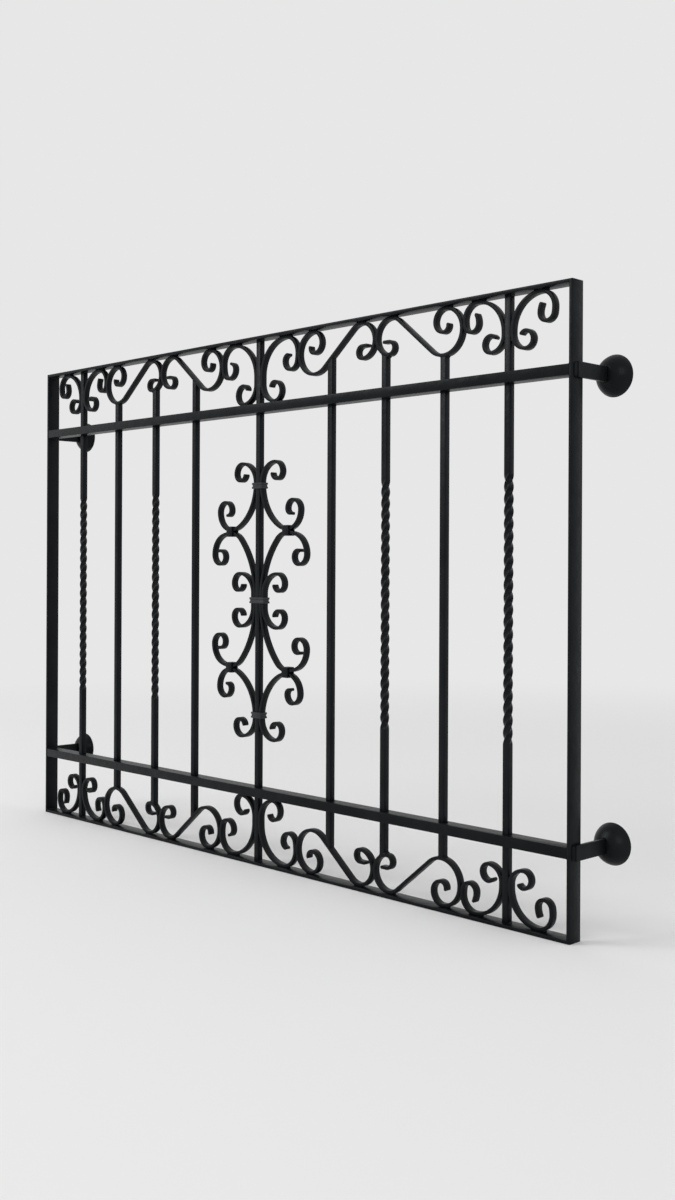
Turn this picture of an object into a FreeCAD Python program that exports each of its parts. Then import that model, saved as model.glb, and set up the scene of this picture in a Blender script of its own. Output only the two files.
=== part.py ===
import FreeCAD, Part
import math
import os
from collections import namedtuple

# A wrought iron window grille: a flat-bar frame with two punched cross rails, nine square bars,
# a frieze of scrolls along the top and the bottom, and a collared scroll ornament on the middle bar.
# Four flat arms hold it off the wall. Each ends in an anchored foot under a pressed round cover.
#
# The grille faces -Y and the wall is the plane y = 0. The origin is the middle of the four wall feet.

# Driving sizes in millimetres. twist_turns is a count of full turns.
SIZES = {
    # frame of flat bar on edge
    "width": 1525,
    "height": 1050,
    "frame_depth": 30,
    "frame_thick": 6,
    # cross rails, placed by their centre line's distance from the frame's outer edge
    "rail_height": 18,
    "rail_inset": 143,
    # square bars: a wide bay beside the middle one, a bay inside each stile, and an even pitch between them
    "bar_side": 12,
    "middle_bay": 205.5,
    "end_bay": 129.5,
    "twist_length": 448,
    "twist_turns": 5.5,
    # scroll strip, and the clearances left for paint and weld
    "strip_thick": 6,
    "strip_width": 12,
    "weld_gap": 0.25,
    "hole_clearance": 0.25,
    "slot_clearance": 0.3,
    # C-scrolls on the outermost bars: the drop of the lower volute, then bend radii from foot to eye
    "end_drop": 98,
    "end_back": 4.75,
    "end_foot": 27,
    "end_foot_curl": 14.5,
    "end_foot_tip": 11,
    "end_shoulder": 27,
    "end_side": 60,
    "end_curl": 14.2,
    "end_tip": 32,
    # larger C-scrolls on the middle bar
    "mid_back": 14.2,
    "mid_foot": 38,
    "mid_foot_curl": 19,
    "mid_foot_tip": 12,
    "mid_shoulder": 34,
    "mid_side": 80,
    "mid_curl": 18,
    "mid_eye": 12,
    # S-scrolls between them: the depth of the large loop, then bend radii of both volutes
    "loop_depth": 90,
    "loop_radius": 42,
    "s_volute": 22,
    "s_curl": 19,
    "s_eye": 11,
    "s_crown": 34,
    "s_small_volute": 31,
    "s_small_curl": 11.5,
    "s_small_tail": 12,
    # ornament on the middle bar
    "collar_level": 228.8,
    "collar_height": 12,
    "collar_thick": 2.2,
    "collar_rim": 4,
    "collar_groove": 1,
    "collar_play": 0.5,
    "clip_width": 18,
    "clip_thick": 3,
    "clip_clearance": 1.35,
    "sweep_start": 4.5,
    "sweep_easy_radius": 97,
    "sweep_tight_radius": 50,
    "tip_volute": 40,
    "tip_second": 20,
    "tip_third": 14.5,
    "tip_eye": 14,
    "side_volute": 37,
    "side_second": 20,
    "side_third": 17,
    "side_eye": 10,
    "large_shoulder": 80,
    "large_side": 41,
    "large_foot": 20,
    "large_curl": 15,
    "large_eye": 13,
    "small_back": 13.5,
    # wall fixings
    "standoff": 85,
    "arm_height": 25,
    "arm_thick": 6,
    "arm_lap": 20,
    "foot_diameter": 56,
    "foot_thick": 5,
    "anchor_diameter": 9,
    "anchor_spacing": 34,
    "cover_diameter": 70,
    "cover_height": 26,
    "cover_wall": 2.5,
}

# Formulas for places that several pieces share
FRONT = "(-sizes.standoff - sizes.frame_depth)"
MIDDLE = "(-sizes.standoff - sizes.frame_depth / 2)"
STILE_CENTRE = "(sizes.width / 2 - sizes.frame_thick / 2)"
ARM_LINE = "(sizes.width / 2 + sizes.arm_thick / 2)"
RAIL_LEVEL = "(sizes.height / 2 - sizes.rail_inset)"
END_BAR = "(sizes.width / 2 - sizes.frame_thick - sizes.end_bay)"
BAR_PITCH = f"(({END_BAR} - sizes.middle_bay) / 3)"
BACK_LINE = "(sizes.bar_side / 2 + sizes.weld_gap + sizes.strip_thick / 2)"
RAIL_LINE = "(sizes.height / 2 - sizes.frame_thick - sizes.weld_gap - sizes.strip_thick / 2)"
CROSS_RAIL_LINE = f"({RAIL_LEVEL} + sizes.rail_height / 2 + sizes.weld_gap + sizes.strip_thick / 2)"

# The arch of a C-scroll is what its foot and its straight back leave of the frieze's height.
# Its reach is how far it stands out from its bar's axis.
END_ARCH = f"({RAIL_LINE} - sizes.height / 2 + sizes.end_drop - sizes.end_back - sizes.end_foot)"
MID_ARCH = f"({RAIL_LINE} - {CROSS_RAIL_LINE} - sizes.mid_back - sizes.mid_foot)"
END_REACH = f"({BACK_LINE} + {END_ARCH} + sizes.end_shoulder + sizes.strip_thick / 2)"
MID_REACH = f"({BACK_LINE} + {MID_ARCH} + sizes.mid_shoulder + sizes.strip_thick / 2)"

# Two S-scrolls share what is left between the reaches, and meet on their axis
S_SPAN = f"(({END_BAR} - {END_REACH} - {MID_REACH} - 3 * sizes.weld_gap) / 2)"
S_AXIS = f"(({END_BAR} - {END_REACH} + {MID_REACH}) / 2)"

# A sweep leads a strip a quarter turn away from the middle bar: an easy bend, in degrees, then a tight one
EASY_TURN = 63
LARGE_EASY_TURN = 43
EASY_RISE = f"sin({EASY_TURN} deg)"
EASY_REACH = f"(1 - cos({EASY_TURN} deg))"
SWEEP_RISE = f"(sizes.sweep_easy_radius * {EASY_RISE} + sizes.sweep_tight_radius * (1 - {EASY_RISE}))"
SWEEP_REACH = f"(sizes.sweep_easy_radius * {EASY_REACH} + sizes.sweep_tight_radius * (1 - {EASY_REACH}))"
# A collared scroll's sweep starts inside its collar and ends at this level, on the crown of a large scroll
SWEEP_FOOT = f"(sizes.collar_level + sizes.sweep_start - {SWEEP_RISE})"

UP = math.pi / 2
SIDES = {"left": -1, "right": 1}
LEVELS = {"top": 1, "bottom": -1}

Straight = namedtuple("Straight", "start end")
Bend = namedtuple("Bend", "centre radius start turn")

doc = FreeCAD.newDocument("window_grille")
sizes = doc.addObject("Spreadsheet::Sheet", "sizes")
for row, (alias, value) in enumerate(SIZES.items(), start=1):
    sizes.set(f"A{row}", alias)
    sizes.set(f"B{row}", str(value))
    sizes.setAlias(f"B{row}", alias)
doc.recompute()

pieces = []


def finish(item, label):
    """Name a finished sub-part and list it for export."""
    item.Label = label
    pieces.append(item)
    return item


def bind(item, formulas):
    for prop, formula in formulas.items():
        item.setExpression(prop, formula)


def place(item, x="0", y="0", z="0", axis=None):
    """Turn a sub-part half a turn about an axis, if one is given, and bind its place to the sizes."""
    if axis:
        item.Placement.Rotation = FreeCAD.Rotation(axis, 180)
    bind(item, {"Placement.Base.x": x, "Placement.Base.y": y, "Placement.Base.z": z})


def mirror_axis(mirror_x, mirror_z):
    """A piece that is alike front and back is mirrored in X or Z by half a turn about another axis."""
    if mirror_x and mirror_z:
        return FreeCAD.Vector(0, 1, 0)
    if mirror_x:
        return FreeCAD.Vector(0, 0, 1)
    if mirror_z:
        return FreeCAD.Vector(1, 0, 0)
    return None


# Tangent paths in the grille's plane

def trace(x, z, heading, moves):
    """Follow moves from a point: ("run", length) is straight, (radius, degrees) bends, left if positive."""
    path = []
    for first, second in moves:
        if first == "run":
            end = (x + second * math.cos(heading), z + second * math.sin(heading))
            path.append(Straight((x, z), end))
        else:
            side = math.copysign(1, second)
            centre = (x - side * first * math.sin(heading), z + side * first * math.cos(heading))
            path.append(Bend(centre, first, heading - side * math.pi / 2, math.radians(second)))
            heading += math.radians(second)
            end = end_point(path[-1])
        x, z = end
    return path


def start_point(piece):
    if isinstance(piece, Straight):
        return piece.start
    return on_bend(piece, piece.start)


def end_point(piece):
    if isinstance(piece, Straight):
        return piece.end
    return on_bend(piece, piece.start + piece.turn)


def on_bend(bend, angle):
    return (bend.centre[0] + bend.radius * math.cos(angle), bend.centre[1] + bend.radius * math.sin(angle))


def start_heading(piece):
    if isinstance(piece, Straight):
        return math.atan2(piece.end[1] - piece.start[1], piece.end[0] - piece.start[0])
    return piece.start + math.copysign(math.pi / 2, piece.turn)


def reverse(path):
    """The same path walked from its far end."""
    back = []
    for piece in reversed(path):
        if isinstance(piece, Straight):
            back.append(Straight(piece.end, piece.start))
        else:
            back.append(Bend(piece.centre, piece.radius, piece.start + piece.turn, -piece.turn))
    return back


def beside(piece, offset):
    """The same piece moved sideways, to the left of its travel if the offset is positive."""
    if isinstance(piece, Straight):
        heading = start_heading(piece)
        dx = -offset * math.sin(heading)
        dz = offset * math.cos(heading)
        return Straight(
            (piece.start[0] + dx, piece.start[1] + dz), (piece.end[0] + dx, piece.end[1] + dz)
        )
    return piece._replace(radius=piece.radius - math.copysign(offset, offset * piece.turn))


def round_end(piece, radius):
    """The half circle that closes a strip at the start of its first piece, from right to left."""
    return Bend(start_point(piece), radius, start_heading(piece) - math.pi / 2, -math.pi)


def strip_outline(path, thickness):
    """The closed outline of a strip of even thickness along a path, with rounded ends."""
    half = thickness / 2
    back = reverse(path)
    left = [beside(piece, half) for piece in path]
    right = [beside(piece, half) for piece in back]
    return left + [round_end(back[0], half)] + right + [round_end(path[0], half)]


def underside(path, x, clearance):
    """The height and slope, at x, of the lowest line that keeps this clearance from a path."""
    found = []
    for piece in path:
        for edge in (beside(piece, clearance), beside(piece, -clearance)):
            if isinstance(edge, Straight):
                run = edge.end[0] - edge.start[0]
                if min(edge.start[0], edge.end[0]) <= x <= max(edge.start[0], edge.end[0]):
                    slope = (edge.end[1] - edge.start[1]) / run
                    found.append((edge.start[1] + slope * (x - edge.start[0]), slope))
                continue
            across = x - edge.centre[0]
            if abs(across) >= edge.radius:
                continue
            below = -math.sqrt(edge.radius ** 2 - across ** 2)
            along = (math.atan2(below, across) - edge.start) * math.copysign(1, edge.turn)
            if along % (2 * math.pi) <= abs(edge.turn):
                found.append((edge.centre[1] + below, -across / below))
    return min(found)


def sketch_edge(piece):
    if isinstance(piece, Straight):
        return Part.LineSegment(FreeCAD.Vector(*piece.start, 0), FreeCAD.Vector(*piece.end, 0))
    circle = Part.Circle(FreeCAD.Vector(*piece.centre, 0), FreeCAD.Vector(0, 0, 1), piece.radius)
    ends = sorted((piece.start, piece.start + piece.turn))
    return Part.ArcOfCircle(circle, *ends)


def polygon(points):
    """Straight pieces round a closed ring of points."""
    return [Straight(start, end) for start, end in zip(points, points[1:] + points[:1])]


# Bodies

def sketch_on(body, plane, edges):
    sketch = body.newObject("Sketcher::SketchObject", f"{body.Name}_sketch")
    origin_plane = next(feature for feature in body.Origin.OriginFeatures if feature.Role == plane)
    sketch.AttachmentSupport = [(origin_plane, "")]
    sketch.MapMode = "FlatFace"
    sketch.addGeometry([sketch_edge(piece) for piece in edges])
    return sketch


def plate(label, outline, thickness):
    """A body padded evenly to both sides of the grille's plane from an outline in X and Z."""
    body = doc.addObject("PartDesign::Body", label)
    pad = body.newObject("PartDesign::Pad", f"{label}_pad")
    pad.Profile = sketch_on(body, "XZ_Plane", outline)
    pad.SideType = "Symmetric"
    pad.setExpression("Length", thickness)
    return finish(body, label)


def box(name, lengths, corner):
    item = doc.addObject("Part::Box", name)
    bind(item, dict(zip(("Length", "Width", "Height"), lengths)))
    place(item, *corner)
    return item


def cut(label, base, tools):
    """One base with several tools taken away."""
    joined = tools[0]
    if len(tools) > 1:
        joined = doc.addObject("Part::MultiFuse", f"{label}_tools")
        joined.Shapes = tools
    item = doc.addObject("Part::Cut", label)
    item.Base = base
    item.Tool = joined
    return finish(item, label)


# Frame and cross rails

def frame():
    for side, sign in SIDES.items():
        label = f"{side}_stile"
        stile = box(
            label,
            ("sizes.frame_thick", "sizes.frame_depth", "sizes.height"),
            (f"{sign} * {STILE_CENTRE} - sizes.frame_thick / 2", FRONT, "-sizes.height / 2"),
        )
        finish(stile, label)
    for level, sign in LEVELS.items():
        label = f"{level}_rail"
        rail = box(
            label,
            ("sizes.width - 2 * sizes.frame_thick", "sizes.frame_depth", "sizes.frame_thick"),
            (
                "sizes.frame_thick - sizes.width / 2",
                FRONT,
                f"{sign} * (sizes.height - sizes.frame_thick) / 2 - sizes.frame_thick / 2",
            ),
        )
        finish(rail, label)


def bar_formulas():
    """The X place of each bar, from left to right."""
    right = [f"(sizes.middle_bay + {step} * {BAR_PITCH})" for step in range(3)] + [END_BAR]
    left = [f"(-{formula})" for formula in reversed(right)]
    return left + ["0"] + right


def cross_rails():
    """Each cross rail fits between the stiles and is punched with a square hole for every bar."""
    hole_side = "(sizes.bar_side + 2 * sizes.hole_clearance)"
    for level, sign in LEVELS.items():
        label = f"{level}_cross_rail"
        foot = f"({sign} * {RAIL_LEVEL} - sizes.rail_height / 2)"
        rail = box(
            f"{label}_bar",
            ("sizes.width - 2 * sizes.frame_thick", "sizes.frame_depth", "sizes.rail_height"),
            ("sizes.frame_thick - sizes.width / 2", FRONT, foot),
        )
        holes = []
        for number, x in enumerate(bar_formulas(), start=1):
            corner = (f"{x} - {hole_side} / 2", f"{MIDDLE} - {hole_side} / 2", foot)
            holes.append(box(f"{label}_hole_{number}", (hole_side, hole_side, "sizes.rail_height"), corner))
        cut(label, rail, holes)


# Scroll paths. X runs out from the axis of the bar that a scroll stands on, Z up from mid height.

back_line = sizes.evalExpression(BACK_LINE)
rail_line = sizes.evalExpression(RAIL_LINE)


def c_scroll(arch, back, foot, upper, lower):
    """A C-scroll with its back on a bar: its upper volute bears on the rail above it."""
    start = (back_line, rail_line - arch)
    up = trace(*start, UP, [(arch, -90)] + upper)
    down = trace(*start, -UP, [("run", back), (foot, 90)] + lower)
    return reverse(down) + up


def end_scroll():
    return c_scroll(
        sizes.evalExpression(END_ARCH),
        sizes.end_back,
        sizes.end_foot,
        [(sizes.end_shoulder, -90), (sizes.end_side, -10), (sizes.end_curl, -170), (sizes.end_tip, -26)],
        [(sizes.end_foot_curl, 180), (sizes.end_foot_tip, 50)],
    )


def middle_scroll():
    return c_scroll(
        sizes.evalExpression(MID_ARCH),
        sizes.mid_back,
        sizes.mid_foot,
        [(sizes.mid_shoulder, -90), (sizes.mid_side, -12), (sizes.mid_curl, -168), (sizes.mid_eye, -80)],
        [(sizes.mid_foot_curl, 180), (sizes.mid_foot_tip, 70)],
    )


def s_scroll():
    """An S-scroll from its small volute, which meets its twin at X = 0, to the large one at its span."""
    loop_foot = sizes.height / 2 - sizes.loop_depth
    span = sizes.evalExpression(S_SPAN)
    loop_x = span + sizes.weld_gap / 2 - sizes.loop_radius - sizes.strip_thick / 2
    crown_x = sizes.weld_gap / 2 + sizes.strip_thick / 2 + sizes.s_crown
    rise = rail_line - loop_foot
    radii = sizes.loop_radius + sizes.s_crown
    slant = math.sqrt((loop_x - crown_x) ** 2 + (rise - radii) ** 2 - radii ** 2)
    lean = math.degrees(math.atan2(rise - radii, loop_x - crown_x) + math.atan2(radii, slant))
    large = [
        (sizes.loop_radius, 90),
        (rise - sizes.loop_radius, 90),
        (sizes.s_volute, 90),
        (sizes.s_curl, 90),
        (sizes.s_eye, 95),
    ]
    small = [
        (sizes.loop_radius, -lean),
        ("run", slant),
        (sizes.s_crown, lean + 90),
        (sizes.s_small_volute, 90),
        (sizes.s_small_curl, 180),
        ("run", sizes.s_small_tail),
    ]
    return reverse(trace(loop_x, loop_foot, math.pi, small)) + trace(loop_x, loop_foot, 0, large)


def tip_moves():
    """The volute that ends the ornament's upright scrolls, bent on one jig."""
    return [
        (sizes.tip_volute, -90),
        (sizes.tip_second, -90),
        (sizes.tip_third, -90),
        (sizes.tip_eye, -75),
    ]


def mirrored(moves):
    return [move if move[0] == "run" else (move[0], -move[1]) for move in moves]


def collared_scroll():
    """The ornament's outer scroll: a tip volute above the collar and a side volute below it."""
    start = (back_line, sizes.collar_level + sizes.sweep_start)
    up = [("run", sizes.collar_height / 2 - sizes.sweep_start)] + tip_moves()
    down = [
        (sizes.sweep_easy_radius, EASY_TURN),
        (sizes.sweep_tight_radius, 90 - EASY_TURN),
        (sizes.side_volute, 90),
        (sizes.side_second, 90),
        (sizes.side_third, 90),
        (sizes.side_eye, 90),
    ]
    return reverse(trace(*start, -UP, down)) + trace(*start, UP, up)


def symmetric_scroll(x, moves):
    return reverse(trace(x, 0, -UP, mirrored(moves))) + trace(x, 0, UP, moves)


def large_scroll():
    """The ornament's large C-scroll.

    Its easy and its tight bend lead from the middle collar to a crown that touches the collared scroll.
    """
    crown = sizes.evalExpression(SWEEP_FOOT) - sizes.strip_thick - sizes.weld_gap
    rise = crown - sizes.collar_height / 2
    reach = sizes.evalExpression(SWEEP_REACH)
    sine = math.sin(math.radians(LARGE_EASY_TURN))
    cosine = math.cos(math.radians(LARGE_EASY_TURN))
    share = sine * cosine - (1 - sine) * (1 - cosine)
    moves = [
        ("run", sizes.collar_height / 2),
        ((rise * cosine - reach * (1 - sine)) / share, -LARGE_EASY_TURN),
        ((reach * sine - rise * (1 - cosine)) / share, LARGE_EASY_TURN - 90),
        (sizes.large_shoulder, -20),
        (sizes.large_side, -70),
        (sizes.large_foot, -90),
        (sizes.large_curl, -90),
        (sizes.large_eye, -110),
    ]
    return symmetric_scroll(back_line, moves)


def small_scroll():
    """The small C-scroll nested against the back of the large one."""
    x = back_line + sizes.strip_thick + sizes.weld_gap + sizes.collar_play
    return symmetric_scroll(x, [("run", sizes.small_back)] + tip_moves())


def scroll(label, path, x="0", mirror_x=False, mirror_z=False):
    body = plate(label, strip_outline(path, sizes.strip_thick), "sizes.strip_width")
    place(body, x, MIDDLE, axis=mirror_axis(mirror_x, mirror_z))


def friezes():
    for level, up in LEVELS.items():
        low = up < 0
        for side, sign in SIDES.items():
            left = sign < 0
            name = f"{level}_{side}"
            scroll(f"{name}_middle_scroll", middle_scroll(), mirror_x=left, mirror_z=low)
            scroll(f"{name}_s_scroll_outer", s_scroll(), f"{sign} * {S_AXIS}", left, low)
            scroll(f"{name}_s_scroll_inner", s_scroll(), f"{sign} * {S_AXIS}", not left, low)
            scroll(f"{name}_end_scroll_outer", end_scroll(), f"{sign} * {END_BAR}", left, low)
            scroll(f"{name}_end_scroll_inner", end_scroll(), f"{sign} * {END_BAR}", not left, low)


def ornament():
    for side, sign in SIDES.items():
        left = sign < 0
        scroll(f"upper_{side}_collared_scroll", collared_scroll(), mirror_x=left)
        scroll(f"lower_{side}_collared_scroll", collared_scroll(), mirror_x=left, mirror_z=True)
        scroll(f"{side}_large_scroll", large_scroll(), mirror_x=left)
        scroll(f"{side}_small_scroll", small_scroll(), mirror_x=left)


def collars():
    """Forged bands round the middle bar and the strips on either side of it, grooved between two rims."""
    deep = "(max(sizes.bar_side; sizes.strip_width) + 2 * sizes.weld_gap)"
    play = "2 * (sizes.collar_play + sizes.weld_gap)"
    core_wall = "(sizes.collar_thick - sizes.collar_groove)"
    for name, strips, level in (("upper", 1, 1), ("middle", 2, 0), ("lower", 1, -1)):
        label = f"{name}_collar"
        wide = f"(sizes.bar_side + 2 * {strips} * (sizes.strip_thick + sizes.weld_gap) + {play})"
        foot = f"({level} * sizes.collar_level - sizes.collar_height / 2)"
        rim_foot = f"{foot} + sizes.collar_height - sizes.collar_rim"
        layers = {
            "core": (core_wall, foot, "sizes.collar_height"),
            "lower_rim": ("sizes.collar_thick", foot, "sizes.collar_rim"),
            "upper_rim": ("sizes.collar_thick", rim_foot, "sizes.collar_rim"),
            "opening": ("0", foot, "sizes.collar_height"),
        }
        solids = []
        for part, (wall, low, tall) in layers.items():
            lengths = (f"{wide} + 2 * {wall}", f"{deep} + 2 * {wall}", tall)
            corner = (f"-{wide} / 2 - {wall}", f"{MIDDLE} - {deep} / 2 - {wall}", low)
            solids.append(box(f"{label}_{part}", lengths, corner))
        band = doc.addObject("Part::MultiFuse", f"{label}_band")
        band.Shapes = solids[:-1]
        cut(label, band, solids[-1:])


def clips():
    """Four like clips, each round the two strips that touch at the end of a sweep. They share one node."""
    across = f"({BACK_LINE} + {SWEEP_REACH})"
    level = f"({SWEEP_FOOT} - (sizes.strip_thick + sizes.weld_gap) / 2)"
    tall = "(2 * sizes.strip_thick + sizes.weld_gap + 2 * sizes.clip_clearance)"
    deep = "(sizes.strip_width + 2 * sizes.weld_gap)"
    group = []
    for height, up in (("upper", 1), ("lower", -1)):
        for side, sign in SIDES.items():
            name = f"{height}_{side}_clip"
            solids = []
            for part, wall in (("band", "sizes.clip_thick"), ("opening", "0")):
                lengths = ("sizes.clip_width", f"{deep} + 2 * {wall}", f"{tall} + 2 * {wall}")
                corner = (
                    f"{sign} * {across} - sizes.clip_width / 2",
                    f"{MIDDLE} - {deep} / 2 - {wall}",
                    f"{up} * {level} - {tall} / 2 - {wall}",
                )
                solids.append(box(f"{name}_{part}", lengths, corner))
            clip = doc.addObject("Part::Cut", name)
            clip.Base = solids[0]
            clip.Tool = solids[1]
            group.append(clip)
    item = doc.addObject("Part::Compound", "scroll_clips")
    item.Links = group
    finish(item, "scroll_clips")


# Bars

def bar_end(x):
    """The height and slope of a bar's upper end: on the rail, or on the underside of an S-scroll."""
    if abs(x) in (0, sizes.evalExpression(END_BAR)):
        return sizes.height / 2 - sizes.frame_thick, 0
    across = abs(x) - sizes.evalExpression(S_AXIS)
    clearance = sizes.strip_thick / 2 + sizes.weld_gap
    level, slope = underside(s_scroll(), abs(across), clearance)
    return level, slope * math.copysign(1, across) * math.copysign(1, x)


def plain_bar(label, x, formula):
    half = sizes.bar_side / 2
    level, slope = bar_end(x)
    corners = [
        (-half, slope * half - level),
        (half, -slope * half - level),
        (half, level + slope * half),
        (-half, level - slope * half),
    ]
    body = plate(label, polygon(corners), "sizes.bar_side")
    place(body, formula, MIDDLE)


def twisted_bar(label, x, formula):
    """A bar whose middle is twisted on its own axis, with plain square shanks above and below."""
    half = sizes.bar_side / 2
    twist_end = sizes.twist_length / 2
    level, slope = bar_end(x)
    low = FreeCAD.Vector(0, 0, -twist_end)
    axis = Part.Wire(Part.makeLine(low, -low))
    guide = Part.makeHelix(sizes.twist_length / sizes.twist_turns, sizes.twist_length, sizes.bar_side)
    guide.translate(low)
    square = [(-half, -half), (half, -half), (half, half), (-half, half), (-half, -half)]
    twist = Part.BRepOffsetAPI.MakePipeShell(axis)
    twist.setAuxiliarySpine(Part.Wire(guide), True, 0)
    twist.add(Part.makePolygon([FreeCAD.Vector(*corner, -twist_end) for corner in square]))
    twist.build()
    twist.makeSolid()
    shanks = []
    for up in (1, -1):
        corners = [
            (-half, up * twist_end),
            (half, up * twist_end),
            (half, up * (level + slope * half)),
            (-half, up * (level - slope * half)),
        ]
        ring = [FreeCAD.Vector(across, -half, rise) for across, rise in corners + corners[:1]]
        shanks.append(Part.Face(Part.makePolygon(ring)).extrude(FreeCAD.Vector(0, sizes.bar_side, 0)))
    item = doc.addObject("Part::Feature", label)
    item.Shape = twist.shape().fuse(shanks)
    place(item, formula, MIDDLE)
    finish(item, label)


def bars():
    """Nine bars from left to right. The outermost and the second on each side of the middle are twisted."""
    twisted = (1, 3, 7, 9)
    for number, formula in enumerate(bar_formulas(), start=1):
        make = twisted_bar if number in twisted else plain_bar
        make(f"bar_{number}", sizes.evalExpression(formula), formula)


# Wall fixings

def cover_profile():
    """Half section of a pressed dome of even wall: X is the radius, Y runs from the wall to the crown."""
    radius = sizes.cover_diameter / 2
    rim = radius - sizes.cover_wall
    crown = sizes.cover_height
    inner_crown = crown - sizes.cover_wall
    ball = (radius ** 2 + crown ** 2) / (2 * crown)
    inner_ball = (rim ** 2 + inner_crown ** 2) / (2 * inner_crown)
    rise = math.asin((ball - crown) / ball)
    inner_rise = math.asin((inner_ball - inner_crown) / inner_ball)
    return [
        Straight((rim, 0), (radius, 0)),
        Bend((0, ball - crown), ball, -rise, rise - UP),
        Straight((0, -crown), (0, -inner_crown)),
        Bend((0, inner_ball - inner_crown), inner_ball, -UP, UP - inner_rise),
    ]


def cover(label, x, z):
    """A round cover that slides along the arm and hides the foot."""
    body = doc.addObject("PartDesign::Body", label)
    dome = body.newObject("PartDesign::Revolution", f"{label}_dome")
    profile = sketch_on(body, "XY_Plane", cover_profile())
    dome.Profile = profile
    dome.ReferenceAxis = (profile, ["V_Axis"])
    dome.Angle = 360
    doc.recompute()
    half_wide = sizes.arm_thick / 2 + sizes.slot_clearance
    half_high = sizes.arm_height / 2 + sizes.slot_clearance
    corners = [
        (-half_wide, -half_high),
        (half_wide, -half_high),
        (half_wide, half_high),
        (-half_wide, half_high),
    ]
    slot = body.newObject("PartDesign::Pocket", f"{label}_slot")
    slot.Profile = sketch_on(body, "XZ_Plane", polygon(corners))
    slot.SideType = "Symmetric"
    slot.setExpression("Length", "2 * sizes.cover_height")
    place(body, x, z=z)
    finish(body, label)


def cylinder(name, diameter, length, x, z):
    """A round solid that stands out from the wall plane."""
    item = doc.addObject("Part::Cylinder", name)
    bind(item, {"Radius": f"{diameter} / 2", "Height": length})
    item.Placement.Rotation = FreeCAD.Rotation(FreeCAD.Vector(1, 0, 0), 90)
    place(item, x, "0", z)
    return item


def wall_fixings():
    for level, up in LEVELS.items():
        for side, sign in SIDES.items():
            name = f"{level}_{side}"
            x = f"{sign} * {ARM_LINE}"
            z = f"{up} * {RAIL_LEVEL}"
            front = "-sizes.standoff - sizes.arm_lap"
            length = "sizes.standoff + sizes.arm_lap - sizes.foot_thick"
            arm = box(
                f"{name}_arm",
                ("sizes.arm_thick", length, "sizes.arm_height"),
                (f"{x} - sizes.arm_thick / 2", front, f"{z} - sizes.arm_height / 2"),
            )
            finish(arm, f"{name}_arm")
            disc = cylinder(f"{name}_foot_disc", "sizes.foot_diameter", "sizes.foot_thick", x, z)
            holes = []
            for hand, away in SIDES.items():
                hole_x = f"{x} + {away} * sizes.anchor_spacing / 2"
                hole_name = f"{name}_foot_{hand}_hole"
                holes.append(cylinder(hole_name, "sizes.anchor_diameter", "sizes.foot_thick", hole_x, z))
            cut(f"{name}_foot", disc, holes)
            cover(f"{name}_cover", x, z)


def write():
    doc.recompute()
    for item in doc.Objects:
        if "Invalid" in item.State or "Error" in item.State:
            raise RuntimeError(f"{item.Label} failed: {item.State}")
    for item in pieces:
        if item.Shape.isNull() or not item.Shape.isValid():
            raise RuntimeError(f"{item.Label} has no sound shape")
    os.makedirs("parts", exist_ok=True)
    for item in pieces:
        item.Shape.exportStep(f"parts/{item.Label}.step")


frame()
cross_rails()
friezes()
ornament()
collars()
clips()
bars()
wall_fixings()
write()
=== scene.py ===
import math
from functools import cache

import bmesh
import bpy
from mathutils import Matrix, Vector
from mathutils.bvhtree import BVHTree


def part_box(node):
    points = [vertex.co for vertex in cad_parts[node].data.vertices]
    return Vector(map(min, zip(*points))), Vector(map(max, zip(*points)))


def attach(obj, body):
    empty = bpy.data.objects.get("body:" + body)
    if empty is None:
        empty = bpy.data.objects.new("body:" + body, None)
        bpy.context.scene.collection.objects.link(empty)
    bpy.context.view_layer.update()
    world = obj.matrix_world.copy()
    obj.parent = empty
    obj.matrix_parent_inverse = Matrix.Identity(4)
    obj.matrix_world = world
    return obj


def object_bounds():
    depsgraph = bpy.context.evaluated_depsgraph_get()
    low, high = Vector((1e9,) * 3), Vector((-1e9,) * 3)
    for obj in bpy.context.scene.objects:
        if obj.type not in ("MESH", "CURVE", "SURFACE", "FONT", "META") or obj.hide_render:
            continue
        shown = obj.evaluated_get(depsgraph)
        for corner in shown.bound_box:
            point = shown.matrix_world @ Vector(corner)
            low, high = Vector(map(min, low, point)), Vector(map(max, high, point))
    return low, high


# Wrought iron window grille, dressed for its studio picture. Lengths are in metres, in the frame of the
# CAD model: the grille faces -Y, its feet stand on the plane y = 0, and z = 0 is its mid height.

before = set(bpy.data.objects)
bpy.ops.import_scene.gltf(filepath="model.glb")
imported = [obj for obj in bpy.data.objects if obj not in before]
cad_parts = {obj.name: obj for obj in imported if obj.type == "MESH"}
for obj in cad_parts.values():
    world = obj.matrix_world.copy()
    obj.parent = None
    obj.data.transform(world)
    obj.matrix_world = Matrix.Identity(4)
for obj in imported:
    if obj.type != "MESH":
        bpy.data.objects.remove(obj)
cad_box = [list(corner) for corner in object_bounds()]
scene = bpy.context.scene

MM = 0.001

# Edges are rounded a little by rolling and paint, and those of the folded clips more
EDGE_RADIUS = 0.7 * MM
CLIP_EDGE_RADIUS = 1.4 * MM
EDGE_ANGLE = math.radians(40)  # an edge sharper than this is rounded
SMOOTH_ANGLE = math.radians(24)  # a fold flatter than this is shaded as one bend

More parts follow.
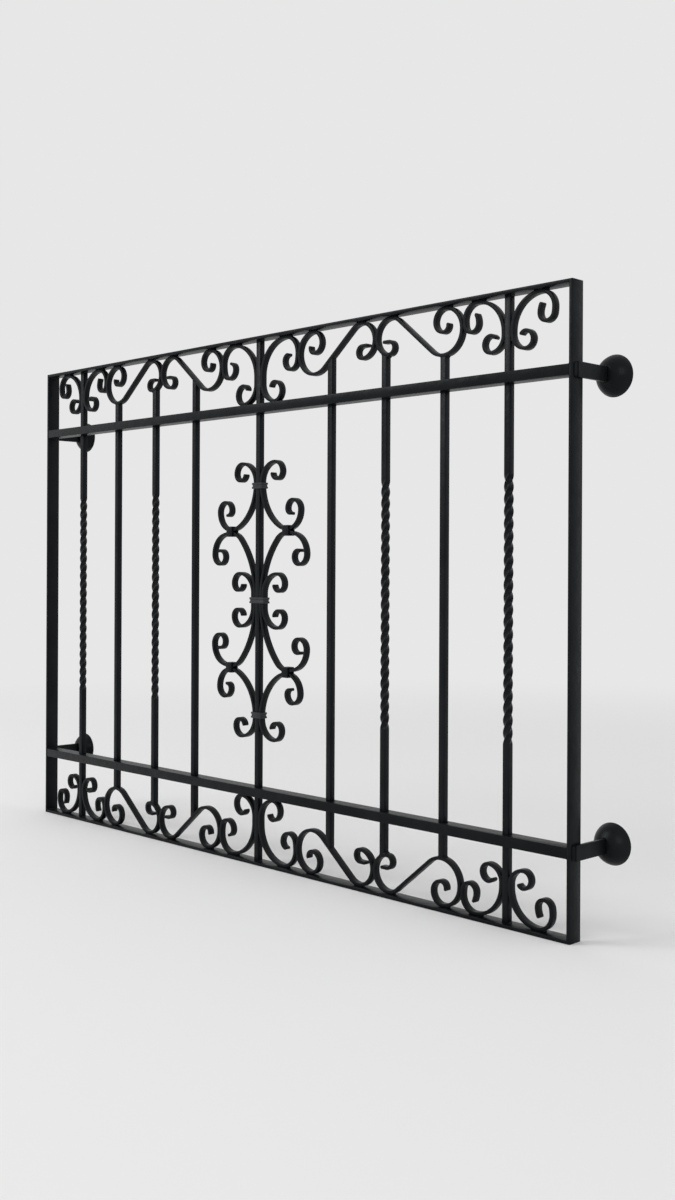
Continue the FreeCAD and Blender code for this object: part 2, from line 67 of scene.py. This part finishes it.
# Welds: a bead is a straight run with a rounded end past each of its two ends
CORNER_BEAD = 2.2 * MM  # radius of the beads in the frame's corners and at the ends of rails and bars
ARM_BEAD = 5 * MM  # radius of the beads that join the arms to the stiles
ARM_BEAD_INSET = 3 * MM  # how far their runs stop short of the arm's top and bottom
DROP_LENGTH = 1.6 * MM  # length of bead that one drop lays
DROP_WAIST = 0.95  # share of the radius that is left between two drops
BEAD_END = [(0, 0.6), (0.75, 0.35)]  # points of a rounded end: shares of the radius outward and past the run
BEAD_SIDES = 10
STRIP_INSET = 0.12  # share of a strip's width that a run keeps from the strip's front and back
SEARCH_REACH = 4 * MM  # how far from a strip its neighbours are looked for
TOUCH_GAP = 0.6 * MM  # pieces this close are touching
LEAST_GAP = 0.9 * MM  # beside that place, a bead lies where the gap is wider than this
BEST_GAP = 1.8 * MM  # and as near to this as it gets
BEAD_BITE = 0.7 * MM  # how far a bead reaches into the pieces on both sides of its gap

# Studio, and the camera that was fitted to the photograph
BACKDROP = "#e7e7e7"
FLOOR = "#ededed"
FLOOR_RADIUS = 40
FADE_START = 1.6  # distance from the origin at which the floor begins to fade into the backdrop
FADE_END = 4.5
WORLD_LIGHT = 0.7
SOFTBOX_SIDE = 3.2
PHOTO_HEIGHT = 1200  # pixels, as are the next two
FOCAL_LENGTH = 1310
HORIZON_RISE = 35.1  # how far the horizon lies above mid picture
CAMERA_PLACE = Vector((1.978, -1.703, 0.0715))  # from the middle of the grille's front
CAMERA_TURN = (math.radians(90), math.radians(-0.26), math.radians(45.62))


def linear(hex_colour):
    """An sRGB hex colour as the linear colour that a shader socket takes."""
    channels = [int(hex_colour[i:i + 2], 16) / 255 for i in (1, 3, 5)]
    return [c / 12.92 if c <= 0.04045 else ((c + 0.055) / 1.055) ** 2.4 for c in channels] + [1.0]


def add_node(tree, kind, links=None, **settings):
    """Add a node with its settings. Links give an input, by name or number, an output socket or a value."""
    node = tree.nodes.new(kind)
    for name, value in settings.items():
        setattr(node, name, value)
    for name, source in (links or {}).items():
        socket = node.inputs[name]
        if isinstance(source, bpy.types.NodeSocket):
            tree.links.new(source, socket)
        else:
            socket.default_value = source
    return node


def new_material(name):
    """A material, and its node tree with nothing in it yet."""
    material = bpy.data.materials.new(name)
    material.use_nodes = True
    material.node_tree.nodes.clear()
    return material, material.node_tree


def new_object(name, shape):
    """Make an object of a bmesh whose points are already in place."""
    mesh = bpy.data.meshes.new(name)
    shape.to_mesh(mesh)
    shape.free()
    piece = bpy.data.objects.new(name, mesh)
    scene.collection.objects.link(piece)
    return piece


# Materials

def painted_iron(name, thick_coat, thin_coat, gloss):
    """Wrought iron under black satin enamel, brushed on by hand.

    To the eye it is a soft near-black, a little cool, with a broad, low sheen. The forged bar shows through
    as slow hammered waves about 20 mm long, and the paint itself as a fine uneven skin, which breaks the
    sheen into quiet patches and leaves the thin coats a shade greyer than the thick ones.
    """
    material, tree = new_material(name)
    place = add_node(tree, "ShaderNodeTexCoord").outputs["Object"]
    # hammered waves of the bar: 20 mm apart
    hammer = add_node(tree, "ShaderNodeTexNoise", {"Vector": place, "Scale": 1 / (20 * MM), "Detail": 2.0})
    # skin of the paint: brush and drying marks about 1.5 mm across, drawn coarser than life so that they show
    skin = add_node(tree, "ShaderNodeTexNoise", {"Vector": place, "Scale": 1 / (1.5 * MM), "Detail": 3.0})
    # thicker and thinner coats in patches about 60 mm across
    coat = add_node(tree, "ShaderNodeTexNoise", {"Vector": place, "Scale": 1 / (60 * MM), "Detail": 4.0})

    thinness = add_node(
        tree, "ShaderNodeMath",
        {0: skin.outputs["Fac"], 1: 0.4, 2: coat.outputs["Fac"]}, operation="MULTIPLY_ADD",
    )
    colour = add_node(tree, "ShaderNodeValToRGB", {"Fac": thinness.outputs["Value"]})
    thick, thin = colour.color_ramp.elements
    thick.position = 0.5
    thick.color = linear(thick_coat)
    thin.position = 0.95
    thin.color = linear(thin_coat)

    sheen = add_node(
        tree, "ShaderNodeMapRange",
        {"Value": skin.outputs["Fac"], "From Min": 0.3, "From Max": 0.7, "To Min": 0.28, "To Max": 0.5},
    )
    waves = add_node(
        tree, "ShaderNodeBump", {"Height": hammer.outputs["Fac"], "Strength": 0.9, "Distance": 1.2 * MM},
    )
    bumps = add_node(
        tree, "ShaderNodeBump",
        {
            "Height": skin.outputs["Fac"],
            "Strength": 0.5,
            "Distance": 0.12 * MM,
            "Normal": waves.outputs["Normal"],
        },
    )
    paint = add_node(
        tree, "ShaderNodeBsdfPrincipled",
        {
            "Base Color": colour.outputs["Color"],
            "Roughness": sheen.outputs["Result"],
            "Normal": bumps.outputs["Normal"],
            "Specular IOR Level": gloss,
        },
    )
    add_node(tree, "ShaderNodeOutputMaterial", {"Surface": paint.outputs["BSDF"]})
    return material


def matt_floor():
    """Matt pale studio floor: it keeps the grille's shadow and fades into the backdrop further out."""
    material, tree = new_material("studio_floor")
    place = add_node(tree, "ShaderNodeTexCoord").outputs["Object"]
    distance = add_node(tree, "ShaderNodeVectorMath", {"Vector": place}, operation="LENGTH").outputs["Value"]
    fade = add_node(
        tree, "ShaderNodeMapRange",
        {"Value": distance, "From Min": FADE_START, "From Max": FADE_END}, interpolation_type="SMOOTHSTEP",
    )
    matt = add_node(
        tree, "ShaderNodeBsdfPrincipled",
        {"Base Color": linear(FLOOR), "Roughness": 0.9, "Specular IOR Level": 0.1},
    )
    far = add_node(tree, "ShaderNodeEmission", {"Color": linear(BACKDROP), "Strength": 1.0})
    mix = add_node(
        tree, "ShaderNodeMixShader",
        {"Fac": fade.outputs["Result"], 1: matt.outputs["BSDF"], 2: far.outputs["Emission"]},
    )
    add_node(tree, "ShaderNodeOutputMaterial", {"Surface": mix.outputs["Shader"]})
    return material


# Finish of the iron

def smooth_by_angle():
    """A modifier's node group that shades bends smoothly and keeps the edges of the bar sharp."""
    group = bpy.data.node_groups.new("smooth_by_angle", "GeometryNodeTree")
    group.interface.new_socket("Geometry", in_out="INPUT", socket_type="NodeSocketGeometry")
    group.interface.new_socket("Geometry", in_out="OUTPUT", socket_type="NodeSocketGeometry")
    start = add_node(group, "NodeGroupInput")
    angle = add_node(group, "GeometryNodeInputMeshEdgeAngle").outputs["Unsigned Angle"]
    sharp = add_node(
        group, "FunctionNodeCompare",
        {"A": angle, "B": SMOOTH_ANGLE}, data_type="FLOAT", operation="GREATER_THAN",
    )
    faces = add_node(
        group, "GeometryNodeSetShadeSmooth",
        {"Geometry": start.outputs["Geometry"], "Shade Smooth": True}, domain="FACE",
    )
    edges = add_node(
        group, "GeometryNodeSetShadeSmooth",
        {
            "Geometry": faces.outputs["Geometry"],
            "Selection": sharp.outputs["Result"],
            "Shade Smooth": False,
        },
        domain="EDGE",
    )
    add_node(group, "NodeGroupOutput", {"Geometry": edges.outputs["Geometry"]})
    return group


def ease_edges(node, radius, smooth):
    """Merge a node's triangles, round its edges, and shade its bends smoothly."""
    merge = node.modifiers.new("merge", "WELD")
    merge.merge_threshold = 0.002 * MM
    bevel = node.modifiers.new("eased_edges", "BEVEL")
    bevel.width = radius
    bevel.segments = 2
    bevel.limit_method = "ANGLE"
    bevel.angle_limit = EDGE_ANGLE
    shade = node.modifiers.new("smooth_bends", "NODES")
    shade.node_group = smooth


# Welds

def weld_run(shape, start, end, radius):
    """Lay a weld: a round bead with a slight swell for each drop, turned about its own line."""
    line = end - start
    steps = 2 * max(2, round(line.length / DROP_LENGTH))
    outline = [(out * radius, -past * radius) for out, past in BEAD_END]
    for step in range(steps + 1):
        swell = 1.0 if step % 2 else DROP_WAIST
        outline.append((swell * radius, line.length * step / steps))
    outline += [(out * radius, line.length + past * radius) for out, past in reversed(BEAD_END)]

    bead = bmesh.new()
    points = [bead.verts.new((out, 0, height)) for out, height in outline]
    edges = [bead.edges.new(pair) for pair in zip(points, points[1:])]
    bmesh.ops.spin(
        bead, geom=points + edges, cent=(0, 0, 0), axis=(0, 0, 1),
        angle=math.tau, steps=BEAD_SIDES, use_merge=True,
    )
    bmesh.ops.remove_doubles(bead, verts=bead.verts, dist=0.001 * MM)
    bmesh.ops.recalc_face_normals(bead, faces=bead.faces)
    place = Matrix.Translation(start) @ line.to_track_quat("Z", "Y").to_matrix().to_4x4()
    bmesh.ops.transform(bead, matrix=place, verts=bead.verts)
    mesh = bpy.data.meshes.new("bead")
    bead.to_mesh(mesh)
    bead.free()
    shape.from_mesh(mesh)
    bpy.data.meshes.remove(mesh)


@cache
def front_points(name):
    """The corner points of a node's front face, each once."""
    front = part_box(name)[0].y
    points = {}
    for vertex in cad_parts[name].data.vertices:
        if vertex.co.y < front + 0.01 * MM:
            points[tuple(round(value, 6) for value in vertex.co)] = vertex.co.copy()
    return list(points.values())


@cache
def surface(name):
    """A node's surface, as a tree that finds its nearest point to a place."""
    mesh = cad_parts[name].data
    return BVHTree.FromPolygons([v.co for v in mesh.vertices], [p.vertices for p in mesh.polygons])


def come_near(one, other):
    """Whether the boxes of two nodes come within reach of each other."""
    (low_a, high_a), (low_b, high_b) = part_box(one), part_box(other)
    gaps = [max(low_a[i] - high_b[i], low_b[i] - high_a[i]) for i in range(3)]
    return max(gaps) < SEARCH_REACH


def weld_strip(shape, strip, partner):
    """Weld a scroll to a neighbour that it touches, in the two narrow gaps beside where they meet."""
    found = []
    for point in front_points(strip):
        nearest, _, _, gap = surface(partner).find_nearest(point, SEARCH_REACH)
        if nearest is not None:
            found.append((gap, point, nearest))
    touching = [point for gap, point, _ in found if gap < TOUCH_GAP]
    if not touching:
        return
    middle = sum(touching, Vector()) / len(touching)
    _, point, nearest = min(found, key=lambda spot: spot[0])
    along = (nearest - point).cross(Vector((0, 1, 0)))
    width = Vector((0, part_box(strip)[1].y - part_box(strip)[0].y, 0))
    for side in (1, -1):
        spots = [
            (gap, point, nearest) for gap, point, nearest in found
            if gap > LEAST_GAP and side * (point - middle).dot(along) > 0
        ]
        if not spots:
            continue
        gap, point, nearest = min(spots, key=lambda spot: abs(spot[0] - BEST_GAP))
        heart = (point + nearest) / 2
        start = heart + STRIP_INSET * width
        end = heart + (1 - STRIP_INSET) * width
        weld_run(shape, start, end, gap / 2 + BEAD_BITE)


def bar_end(name, level):
    """The box of a bar's end on a rail, as its lowest and highest corner."""
    points = [v.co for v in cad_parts[name].data.vertices if abs(v.co.z - level) < MM]
    return [Vector(limit(values) for values in zip(*points)) for limit in (min, max)]


def corner_weld(shape, x, z, box):
    """Weld an inside corner from front to back of a box."""
    low, high = box
    weld_run(shape, Vector((x, low.y + CORNER_BEAD, z)), Vector((x, high.y - CORNER_BEAD, z)), CORNER_BEAD)


def add_welds(name, shape, paint):
    """Make one painted piece of the beads in a bmesh."""
    welds = new_object(name, shape)
    welds.data.shade_smooth()
    welds.data.materials.append(paint)
    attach(welds, "root")


def frieze_welds(level, paint):
    """The scrolls of a frieze, each welded to the rails, bars, stiles and scrolls that it touches."""
    shape = bmesh.new()
    scrolls = [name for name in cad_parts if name.startswith(level) and "scroll" in name]
    others = [f"{level}_rail", f"{level}_cross_rail", "left_stile", "right_stile"]
    others += [f"bar_{number}" for number in range(1, 10)]
    for order, scroll in enumerate(scrolls, start=1):
        for partner in others + scrolls[order:]:
            if come_near(scroll, partner):
                weld_strip(shape, scroll, partner)
    add_welds(f"{level}_frieze_welds", shape, paint)


def frame_welds(paint):
    """The frame's corners, the ends of the cross rails and full bars, and the arms on their stiles."""
    shape = bmesh.new()
    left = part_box("left_stile")[1].x
    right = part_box("right_stile")[0].x
    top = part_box("top_rail")[0].z
    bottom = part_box("bottom_rail")[1].z
    for x in (left, right):
        for z in (top, bottom):
            corner_weld(shape, x, z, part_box("left_stile"))
        for rail in ("top_cross_rail", "bottom_cross_rail"):
            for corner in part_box(rail):
                corner_weld(shape, x, corner.z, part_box(rail))
    for bar in ("bar_1", "bar_5", "bar_9"):
        for z in (top, bottom):
            end = bar_end(bar, z)
            for corner in end:
                corner_weld(shape, corner.x, z, end)
    for side in ("left", "right"):
        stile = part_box(f"{side}_stile")
        x = stile[0].x if side == "left" else stile[1].x
        for level in ("top", "bottom"):
            low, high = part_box(f"{level}_{side}_arm")
            for y in (low.y, stile[1].y):
                start = Vector((x, y, low.z + ARM_BEAD_INSET))
                end = Vector((x, y, high.z - ARM_BEAD_INSET))
                weld_run(shape, start, end, ARM_BEAD)
    add_welds("frame_welds", shape, paint)


# Studio

def studio_world():
    """Even soft light all round; the camera and reflections see the pale backdrop itself."""
    world = bpy.data.worlds.new("studio")
    scene.world = world
    world.use_nodes = True
    tree = world.node_tree
    tree.nodes.clear()
    path = add_node(tree, "ShaderNodeLightPath")
    seen = path.outputs["Is Camera Ray"]
    for ray in ("Is Glossy Ray", "Is Transmission Ray"):
        either = add_node(tree, "ShaderNodeMath", {0: seen, 1: path.outputs[ray]}, operation="MAXIMUM")
        seen = either.outputs["Value"]
    light = add_node(tree, "ShaderNodeBackground", {"Color": linear("#ffffff"), "Strength": WORLD_LIGHT})
    backdrop = add_node(tree, "ShaderNodeBackground", {"Color": linear(BACKDROP), "Strength": 1.0})
    mix = add_node(
        tree, "ShaderNodeMixShader",
        {"Fac": seen, 1: light.outputs["Background"], 2: backdrop.outputs["Background"]},
    )
    add_node(tree, "ShaderNodeOutputWorld", {"Surface": mix.outputs["Shader"]})


def studio_floor():
    """A wide round floor under the grille's lowest edge."""
    shape = bmesh.new()
    bmesh.ops.create_circle(shape, cap_ends=True, segments=96, radius=FLOOR_RADIUS)
    bmesh.ops.translate(shape, verts=shape.verts, vec=(0, 0, cad_box[0][2]))
    floor = new_object("studio_floor", shape)
    floor.data.materials.append(matt_floor())


def softbox(name, place, power):
    """A large soft light that points at the origin, just behind the grille's middle."""
    light = bpy.data.lights.new(name, "AREA")
    light.shape = "SQUARE"
    light.size = SOFTBOX_SIDE
    light.energy = power
    lamp = bpy.data.objects.new(name, light)
    lamp.location = place
    lamp.rotation_euler = (-Vector(place)).to_track_quat("-Z", "Y").to_euler()
    scene.collection.objects.link(lamp)


def camera_at_photo_angle():
    """The photograph's own view: level, from beyond the right side, with the horizon above mid picture."""
    lens = bpy.data.cameras.new("camera")
    lens.sensor_width = 36
    lens.lens = lens.sensor_width * FOCAL_LENGTH / PHOTO_HEIGHT
    lens.shift_y = -HORIZON_RISE / PHOTO_HEIGHT
    camera = bpy.data.objects.new("camera", lens)
    camera.rotation_mode = "XYZ"
    camera.location = Vector((0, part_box("left_stile")[0].y, 0)) + CAMERA_PLACE
    camera.rotation_euler = CAMERA_TURN
    scene.collection.objects.link(camera)
    scene.camera = camera


iron = painted_iron("painted_iron", thick_coat="#05070a", thin_coat="#111418", gloss=0.12)
# the collars' paint is drawn lighter and greyer as a painted highlight for the light their rounded ridges
# catch, and it is glossier
rubbed_iron = painted_iron("rubbed_iron", thick_coat="#121417", thin_coat="#2c2f33", gloss=0.35)
smooth = smooth_by_angle()
frame_welds(iron)
for level in ("top", "bottom"):
    frieze_welds(level, iron)
for name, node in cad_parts.items():
    node.data.materials.clear()
    # the collars take the lighter paint that stands in for a painted highlight on their ridges
    node.data.materials.append(rubbed_iron if name.endswith("collar") else iron)
    ease_edges(node, CLIP_EDGE_RADIUS if name == "scroll_clips" else EDGE_RADIUS, smooth)

studio_world()
studio_floor()
softbox("key_light", place=(-3.4, -4.6, 4.0), power=170)
softbox("fill_light", place=(6.4, -4.8, 3.2), power=100)
camera_at_photo_angle()

scene.view_settings.view_transform = "Standard"
